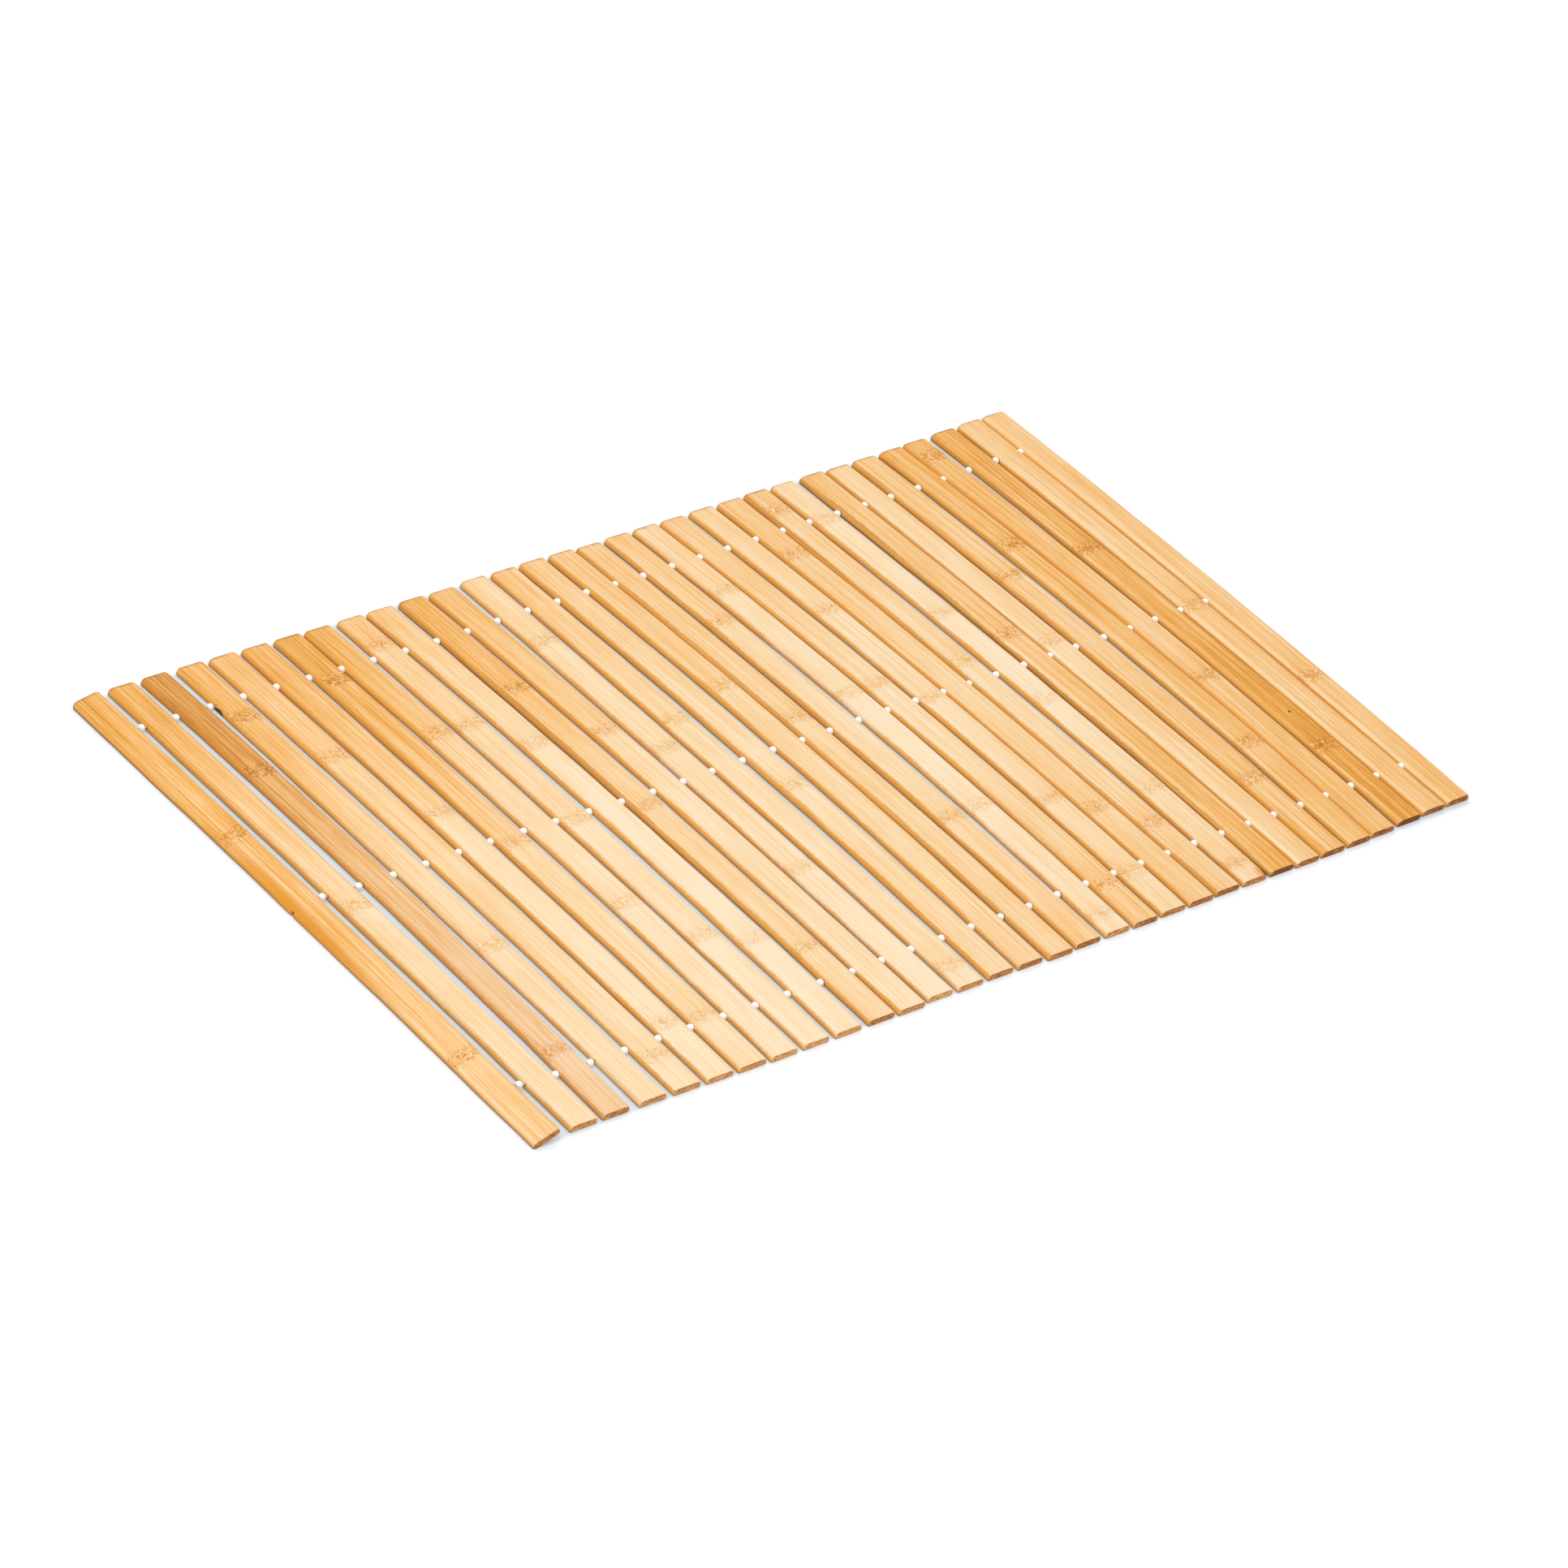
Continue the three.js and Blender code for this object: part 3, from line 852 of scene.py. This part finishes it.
def end_grain(name):
    """Sawn bamboo end: brown, with the cut fibres as fine dots and saw marks, darker on deeper slats."""
    material, tree, shader = new_material(name)
    grain = attribute(tree, "grain", "Vector")
    dots = noise(tree, grain, (0.32 * MM, 40 * MM, 0.32 * MM), detail=1.0)
    cloud = noise(tree, grain, (3.0 * MM, 40 * MM, 1.6 * MM))
    saw = noise(tree, grain, (6.0 * MM, 40 * MM, 0.25 * MM))
    value = total(
        tree,
        remap(tree, dots, 0.35, 0.65, 0.0, 0.45),
        remap(tree, cloud, 0.35, 0.65, 0.05, 0.40),
        remap(tree, saw, 0.35, 0.65, 0.0, 0.20),
        product(tree, attribute(tree, "tone"), -0.75),
        product(tree, attribute(tree, "under"), 0.15),
        # darker on slats with more painted shade on their left sides: painted shade on the ends as well
        product(tree, attribute(tree, "side"), -0.15),
        0.10,
    )
    stops = ((0.0, (0.190, 0.048, 0.006)), (0.4, (0.460, 0.155, 0.029)), (1.0, (0.840, 0.500, 0.190)))
    tree.links.new(ramp(tree, value, stops), shader.inputs["Base Color"])
    shader.inputs["Roughness"].default_value = 0.75
    shader.inputs["Specular IOR Level"].default_value = 0.25
    roughen(tree, shader, dots, 0.4, 0.1 * MM)
    return material


def hole_wood_shaded(name):
    """Wood inside the holes, painted dark as the shade in the bores, and rough."""
    material, tree, shader = new_material(name)
    grain = attribute(tree, "grain", "Vector")
    fuzz = noise(tree, grain, (0.4 * MM, 2.0 * MM, 0.4 * MM))
    # painted shade inside the holes
    colour = ramp(tree, fuzz, ((0.3, (0.110, 0.045, 0.016)), (0.7, (0.230, 0.100, 0.036))))
    tree.links.new(colour, shader.inputs["Base Color"])
    shader.inputs["Roughness"].default_value = 0.85
    return material


def bead_white():
    """Glossy white beads, each a little different in warmth."""
    material, tree, shader = new_material("bead_white")
    place = add(tree, "TexCoord").outputs["Object"]
    cloud = noise(tree, place, (9 * MM, 60 * MM, 9 * MM), detail=1.0)
    colour = ramp(tree, cloud, ((0.3, (0.930, 0.925, 0.915)), (0.7, (0.960, 0.960, 0.955))))
    tree.links.new(colour, shader.inputs["Base Color"])
    shader.inputs["Roughness"].default_value = 0.25
    shader.inputs["Subsurface Weight"].default_value = 0.35
    shader.inputs["Subsurface Radius"].default_value = (0.8, 0.7, 0.6)
    shader.inputs["Subsurface Scale"].default_value = 0.8 * MM
    scratch = noise(tree, place, (0.5 * MM, 0.5 * MM, 0.5 * MM))
    roughen(tree, shader, scratch, 0.06, 0.05 * MM)
    return material


def cord_beige():
    """Beige twisted cord, matt and fibrous."""
    material, tree, shader = new_material("cord_beige")
    place = add(tree, "TexCoord").outputs["Object"]
    fibre = noise(tree, place, (0.9 * MM, 0.12 * MM, 0.12 * MM))
    colour = ramp(tree, fibre, ((0.3, (0.450, 0.330, 0.200)), (0.7, (0.620, 0.490, 0.330))))
    tree.links.new(colour, shader.inputs["Base Color"])
    shader.inputs["Roughness"].default_value = 0.8
    roughen(tree, shader, fibre, 0.5, 0.08 * MM)
    return material


# Stage

FLOOR_PALE = (0.85, 0.88, 0.92, 1)
# painted shadow under the mat
FLOOR_SHADOW_GREY = (0.36, 0.41, 0.43, 1)
FLOOR_GLOW = (0.10, 0.38)  # emission of the floor at large, and under the mat, where it is painted light that lifts the painted shadow to an even grey
FLOOR_REACH = 6.0
FLOOR_DROP = 0.05 * MM  # below the mat's underside
SHADOW_HALO_REACH = 8 * MM  # how far past the mat a little of the painted shadow reaches
SHADOW_HALO_SHARE = 0.22
SHADOW_HALO_LESS = 8 * MM  # how much less far it reaches on the mat's right side
SHADOW_FULL_REACH = 5 * MM  # how far inside the mat's edges the floor is wholly painted shadow
SKY_COLOUR = (0.97, 0.985, 1.0, 1)
SKY_STRENGTH = 0.80

# Each row is one light: its name, place and width in metres, its watts and its colour.
LIGHTS = (
    ("key", (-1.7, -0.5, 3.3), 2.2, 55, (1.0, 0.985, 0.96)),
    ("back", (1.7, 2.2, 3.2), 2.2, 28, (1.0, 1.0, 1.0)),
)


def floor_pale(box):
    """Plain pale floor, with a painted shadow under and around the mat, which glows there to an even grey.
    """
    material, tree, shader = new_material("floor")
    low, high = Vector(box[0]), Vector(box[1]) - Vector((SHADOW_HALO_LESS, 0, 0))
    middle, half = (low + high) / 2, (high - low) / 2
    place = add(tree, "TexCoord").outputs["Object"]
    away = vector_maths(tree, "ABSOLUTE", vector_maths(tree, "SUBTRACT", place, tuple(middle)))
    beyond = add(tree, "SeparateXYZ", {0: vector_maths(tree, "SUBTRACT", away, tuple(half))}).outputs
    beyond = maths(tree, "MAXIMUM", beyond["X"], beyond["Y"])
    painted_shadow = total(
        tree,
        remap(tree, beyond, SHADOW_HALO_REACH, 0.0, 0.0, SHADOW_HALO_SHARE, smooth=True),
        remap(tree, beyond, 0.0, -SHADOW_FULL_REACH, 0.0, 1 - SHADOW_HALO_SHARE, smooth=True),
    )
    tree.links.new(mix(tree, painted_shadow, FLOOR_PALE, FLOOR_SHADOW_GREY), shader.inputs["Base Color"])
    shader.inputs["Roughness"].default_value = 0.9
    shader.inputs["Specular IOR Level"].default_value = 0.1
    shader.inputs["Emission Color"].default_value = FLOOR_PALE
    tree.links.new(remap(tree, painted_shadow, 0.0, 1.0, *FLOOR_GLOW), shader.inputs["Emission Strength"])
    return material


def add_light(name, place, width, watts, colour):
    data = bpy.data.lights.new(name, "AREA")
    data.shape = "DISK"
    data.size = width
    data.energy = watts
    data.color = colour
    light = placed(name, data)
    light.location = place
    light.rotation_mode = "QUATERNION"
    light.rotation_quaternion = (-Vector(place)).to_track_quat("-Z", "Y")


def add_stage(box):
    """The floor, under soft studio light from all round."""
    r, z = FLOOR_REACH, -FLOOR_DROP
    mesh = bpy.data.meshes.new("floor")
    mesh.from_pydata([(-r, -r, z), (r, -r, z), (r, r, z), (-r, r, z)], [], [(0, 1, 2, 3)])
    mesh.materials.append(floor_pale(box))
    placed("floor", mesh)
    world = bpy.data.worlds.new("world")
    world.use_nodes = True
    background = world.node_tree.nodes["Background"]
    background.inputs["Color"].default_value = SKY_COLOUR
    background.inputs["Strength"].default_value = SKY_STRENGTH
    bpy.context.scene.world = world
    for light in LIGHTS:
        add_light(*light)
    bpy.context.scene.view_settings.view_transform = "Standard"


# Assembly

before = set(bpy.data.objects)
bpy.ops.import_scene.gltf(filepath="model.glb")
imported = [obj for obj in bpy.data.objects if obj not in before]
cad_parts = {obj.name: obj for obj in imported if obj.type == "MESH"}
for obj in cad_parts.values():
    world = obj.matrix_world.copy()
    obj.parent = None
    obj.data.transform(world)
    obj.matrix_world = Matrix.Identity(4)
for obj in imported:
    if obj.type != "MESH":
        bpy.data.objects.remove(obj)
cad_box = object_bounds()
add_camera()

names = sorted(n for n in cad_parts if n.startswith("slat_"))
lies = [Lie(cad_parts[name]) for name in names]
cords = sorted(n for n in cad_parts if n.startswith("beaded_cord_"))
rows = {name: Strung(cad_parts[name]) for name in cords}

marks, stains = grain_places(MARKS_AND_SHADES, lies), grain_places(STAINS, lies)
russet = bamboo("bamboo_russet", RUSSET_RAMP, RUSSET_SIDE_SHADE, [], [])
plain = bamboo("bamboo_plain", BAMBOO_RAMP, SIDE_SHADE_COLOUR, marks, stains)
sawn = end_grain("bamboo_end")
drilled = hole_wood_shaded("bamboo_hole")

for n, (name, lie, row) in enumerate(zip(names, lies, SLATS)):
    chance = np.random.default_rng(FIRST_SEED + n)
    bites = [bite[1:] for bite in BITES if bite[0] == n + 1]
    mesh = slat_mesh("fine_" + name, lie, row, bites, chance)
    for material in (russet if n == RUSSET_SLAT else plain, sawn, drilled):
        mesh.materials.append(material)
    slat = placed("fine_" + name, mesh)
    drill(slat, n, rows)
    paint(slat, n, lie, row)
    slat.data.shade_smooth()
    slat.data.set_sharp_from_angle(angle=SLAT_CREASE)
    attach(slat, "root")
    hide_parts(name)

strung_materials = (bead_white(), cord_beige())
for name, strung in rows.items():
    piece = strung_row(name.replace("beaded_cord", "strung"), strung, strung_materials)
    piece.data.shade_smooth()
    piece.data.set_sharp_from_angle(angle=STRUNG_CREASE)
    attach(piece, "root")
    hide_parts(name)

add_stage(cad_box)
